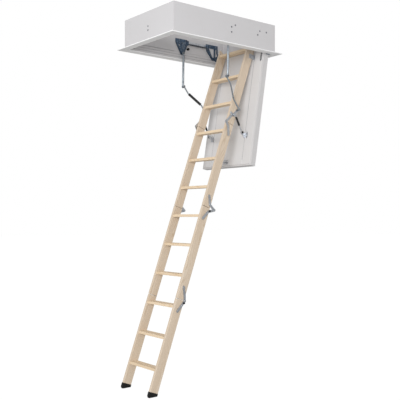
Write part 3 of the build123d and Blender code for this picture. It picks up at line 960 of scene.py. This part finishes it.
# Ribs of an arm bracket as (x, z) ends, and their section as (rise, half width)
rib_lines = (
    ((0.034, 0.080), (0.012, 0.178)),
    ((0.060, 0.080), (0.078, 0.146)),
    ((-0.012, 0.160), (0.020, 0.104)),
)
rib_section = ((-0.0002, 0.0034), (0.0010, 0.0026), (0.0018, 0.0012))


def bracket_ribs(side):
    """Pressed ribs down the fan of one arm bracket, to its pivot."""
    way = -1.0 if side == "near" else 1.0

    def build(shape):
        for low, high in rib_lines:
            run = Vector((high[0] - low[0], 0.0, high[1] - low[1]))
            aside = run.cross(Vector((0.0, 1.0, 0.0))).normalized()
            seat = Vector((low[0], way * bracket_inner_face, low[1]))
            rings = []
            for rise, half in rib_section:
                level = seat - Vector((0.0, way * rise, 0.0))
                trim_in = run.normalized() * (rise * 2)
                start = level + trim_in
                end = level + run - trim_in
                wide = aside * half
                ring = (start - wide, start + wide, end + wide, end - wide)
                rings.append([shape.verts.new(point) for point in ring])
            join_rings(shape, rings)
            close_ends(shape, rings)

    new_piece(f"bracket_ribs_{side}", "casing", "blued_steel", build)


# ---------------------------------------------------------------- arms and struts


grip_pitch = 0.004
grip_plain = 0.006
grip_sides = 20
# Rolled end and one rib of a grip, as (distance along, depth below its radius)
grip_end = ((0.0, 0.0016), (0.0012, 0.0002), (0.0024, 0.0))
grip_rib = ((0.0006, 0.0), (0.0014, 0.0007), (0.0026, 0.0007), (0.0034, 0.0))


def ribbed_grip(shape, start, end, bore, radius):
    """A soft sleeve with close round ribs and rolled ends."""
    axis = end - start
    length = axis.length
    count = int((length - grip_plain) / grip_pitch)
    first = (length - count * grip_pitch) / 2
    profile = [(along, radius - sunk) for along, sunk in grip_end]
    for rib in range(count):
        at = first + rib * grip_pitch
        profile += [(at + along, radius - sunk) for along, sunk in grip_rib]
    profile += [(length - along, radius - sunk) for along, sunk in reversed(grip_end)]
    profile += [(length, bore), (0.0, bore)]
    lathe(shape, start, axis, profile, grip_sides, hollow=True)


strut_top = ladder_point(0.552, 0.050, 0.0)
strut_y = 0.217
strut_grip_from = 0.14
strut_grip_to = 0.62
strut_grip_bore = 0.0051
strut_grip_radius = 0.009
arm_bend = Vector((0.086, 0.287, -0.301))
arm_lower_bend = Vector((0.180, 0.217, -0.406))
arm_grip_inset = 0.007
arm_grip_bore = 0.0061
arm_grip_radius = 0.0115


def strut_grips(shape):
    """A grip round the middle of each strut."""
    run = strut_foot - strut_top
    for way in near_far:
        aside = Vector((0.0, way * strut_y, 0.0))
        start = strut_top + run * strut_grip_from + aside
        end = strut_top + run * strut_grip_to + aside
        ribbed_grip(shape, start, end, strut_grip_bore, strut_grip_radius)


def arm_grip(shape):
    """The grip on the far link, between its two bends."""
    inset = (arm_lower_bend - arm_bend).normalized() * arm_grip_inset
    ribbed_grip(shape, arm_bend + inset, arm_lower_bend - inset, arm_grip_bore, arm_grip_radius)


arm_pivot = (0.046, 0.058)
arm_elbow = (0.040, -0.244)
lever_pivot_y = 0.2988
lever_elbow_y = 0.3068
link_elbow_y = 0.2832
pin_cap = (
    (0.0, 0.0086),
    (0.0008, 0.0088),
    (0.0014, 0.0076),
    (0.0018, 0.0045),
    (0.0019, 0.0010),
)


def pin_cap_at(shape, place, y, facing):
    seat = Vector((place[0], y, place[1]))
    lathe(shape, seat, Vector((0.0, facing, 0.0)), pin_cap)


def pin_caps(side):
    """Pressed retaining caps on the ends of the arm's pins."""
    way = -1.0 if side == "near" else 1.0

    def on_lever(shape):
        pin_cap_at(shape, arm_pivot, way * lever_pivot_y, -way)
        pin_cap_at(shape, arm_elbow, way * lever_elbow_y, way)

    def on_link(shape):
        pin_cap_at(shape, arm_elbow, way * link_elbow_y, -way)

    new_piece(f"lever_pin_caps_{side}", f"lever_{side}", "bolt_steel", on_lever)
    new_piece(f"link_pin_cap_{side}", f"link_{side}", "bolt_steel", on_link)


# ---------------------------------------------------------------- feet


rib_stations = (2.936, 2.943, 2.950, 2.957, 2.964)
rib_width = 0.0030
rib_front = 0.004
rib_back = 0.074
rib_sink = 0.0008
rib_height = 0.0007
cap_outer_y = 0.2000
cap_inner_y = 0.1780


def foot_ribs(shape):
    """Raised grip ribs across both sides of each rubber foot cap."""
    for station in rib_stations:
        level_depth = (-floor_level + (station + rib_width) * ladder_down.z) / -ladder_down.x
        back = min(rib_back, level_depth - rib_front)
        corners = ((0.0, rib_front), (rib_width, rib_front), (rib_width, back), (0.0, back))
        for way in near_far:
            for face, outward in ((cap_outer_y, way), (cap_inner_y, -way)):
                y = way * face - outward * rib_sink
                outline = [ladder_point(station + along, depth, y) for along, depth in corners]
                prism(shape, outline, Vector((0.0, outward * rib_height, 0.0)))


for number in (1, 2, 3, 4):
    hinge_screws(number)
for number in (1, 2, 3):
    hinge_rivets(number)
new_piece("casing_bolt_heads", "casing", "bolt_steel", casing_bolts, "casing_bolts")
small_screws()
new_piece("leaf_straps", "hatch", "bolt_steel", leaf_straps)
# Painted shade lines down the leaf: grey strips in the seal finish
new_piece("panel_shade_strips", "hatch", "seal_rubber", panel_shade_lines)
new_piece("lug_washers", "hatch", "black_plastic", lug_washers)
# Painted shade in the casing's two lower grooves: grey strips in the seal finish
new_piece("groove_shade_strips", "casing", "seal_rubber", groove_shade_strips)
new_piece("closing_springs", "casing", "dark_steel", closing_springs, "spring_tubes")
new_piece("strut_grips", "hatch", "black_plastic", strut_grips, "strut_sleeves")
new_piece("arm_grip_far", "link_far", "black_plastic", arm_grip, "arm_sleeve_far")
for side_name in ("near", "far"):
    bracket_ribs(side_name)
    pin_caps(side_name)
new_piece("foot_cap_ribs", "section_4", "black_rubber", foot_ribs)


# ---------------------------------------------------------------- studio

studio_white = colour(1.0, 1.0, 1.0)
floor_grey = colour(0.62, 0.62, 0.62)
floor_lift = 1.22
floor_lift_share = 0.75
floor_half_width = 40.0
floor_gap = 0.0005


def floor_paint():
    """Pale matt floor, lifted to the studio's white where it is seen directly."""
    paint = bpy.data.materials.new("studio_floor")
    paint.use_nodes = True
    tree = paint.node_tree
    matt = tree.nodes["Principled BSDF"]
    matt.inputs["Base Color"].default_value = floor_grey
    matt.inputs["Roughness"].default_value = 0.9
    matt.inputs["Specular IOR Level"].default_value = 0.1
    lift = add_node(tree, "Emission", values={"Color": studio_white, "Strength": floor_lift})
    seen = add_node(tree, "LightPath")
    share = times(tree, seen.outputs["Is Camera Ray"], floor_lift_share)
    mixed = add_node(tree, "MixShader")
    link(tree, share, mixed.inputs[0])
    link(tree, matt.outputs[0], mixed.inputs[1])
    link(tree, lift.outputs[0], mixed.inputs[2])
    link(tree, mixed.outputs[0], tree.nodes["Material Output"].inputs["Surface"])
    return paint


def studio_floor():
    """A broad floor under the feet, lit to the same white as the studio behind it."""
    half = floor_half_width
    mesh = bpy.data.meshes.new("studio_floor")
    corners = [(-half, -half, 0), (half, -half, 0), (half, half, 0), (-half, half, 0)]
    mesh.from_pydata(corners, [], [(0, 1, 2, 3)])
    floor = bpy.data.objects.new("studio_floor", mesh)
    floor.location.z = floor_level - floor_gap
    bpy.context.scene.collection.objects.link(floor)
    mesh.materials.append(floor_paint())


def studio_sky(seen_strength, light_strength):
    """White behind the object, with a softer level for what the sky lights."""
    world = bpy.data.worlds.new("studio")
    bpy.context.scene.world = world
    world.use_nodes = True
    tree = world.node_tree
    background = tree.nodes["Background"]
    background.inputs["Color"].default_value = studio_white
    seen = add_node(tree, "LightPath")
    spread = seen_strength - light_strength
    level = times(tree, seen.outputs["Is Camera Ray"], spread)
    level = plus(tree, level, light_strength)
    link(tree, level, background.inputs["Strength"])


def soft_box(name, place, aim, size, power):
    lamp = bpy.data.lights.new(name, "AREA")
    lamp.shape = "RECTANGLE"
    lamp.size = size[0]
    lamp.size_y = size[1]
    lamp.energy = power
    light = bpy.data.objects.new(name, lamp)
    light.location = place
    light.rotation_euler = (Vector(aim) - Vector(place)).to_track_quat("-Z", "Y").to_euler()
    bpy.context.scene.collection.objects.link(light)


def studio_camera():
    """Level camera whose shift keeps the whole ladder in the frame."""
    data = bpy.data.cameras.new("camera")
    data.sensor_width = 36.0
    data.lens = 61.127
    data.shift_y = 0.0416
    data.clip_end = 100.0
    camera = bpy.data.objects.new("camera", data)
    camera.location = (-3.64005, -4.51609, -1.40254)
    camera.rotation_euler = (math.radians(90.0), 0.0, math.radians(-38.8))
    bpy.context.scene.collection.objects.link(camera)
    bpy.context.scene.camera = camera


studio_floor()
studio_sky(1.0, 0.62)
soft_box("key", (-9.0, -7.0, 0.5), (0.0, 0.0, -1.0), (5.0, 5.0), 900.0)
studio_camera()
bpy.context.scene.view_settings.view_transform = "Standard"
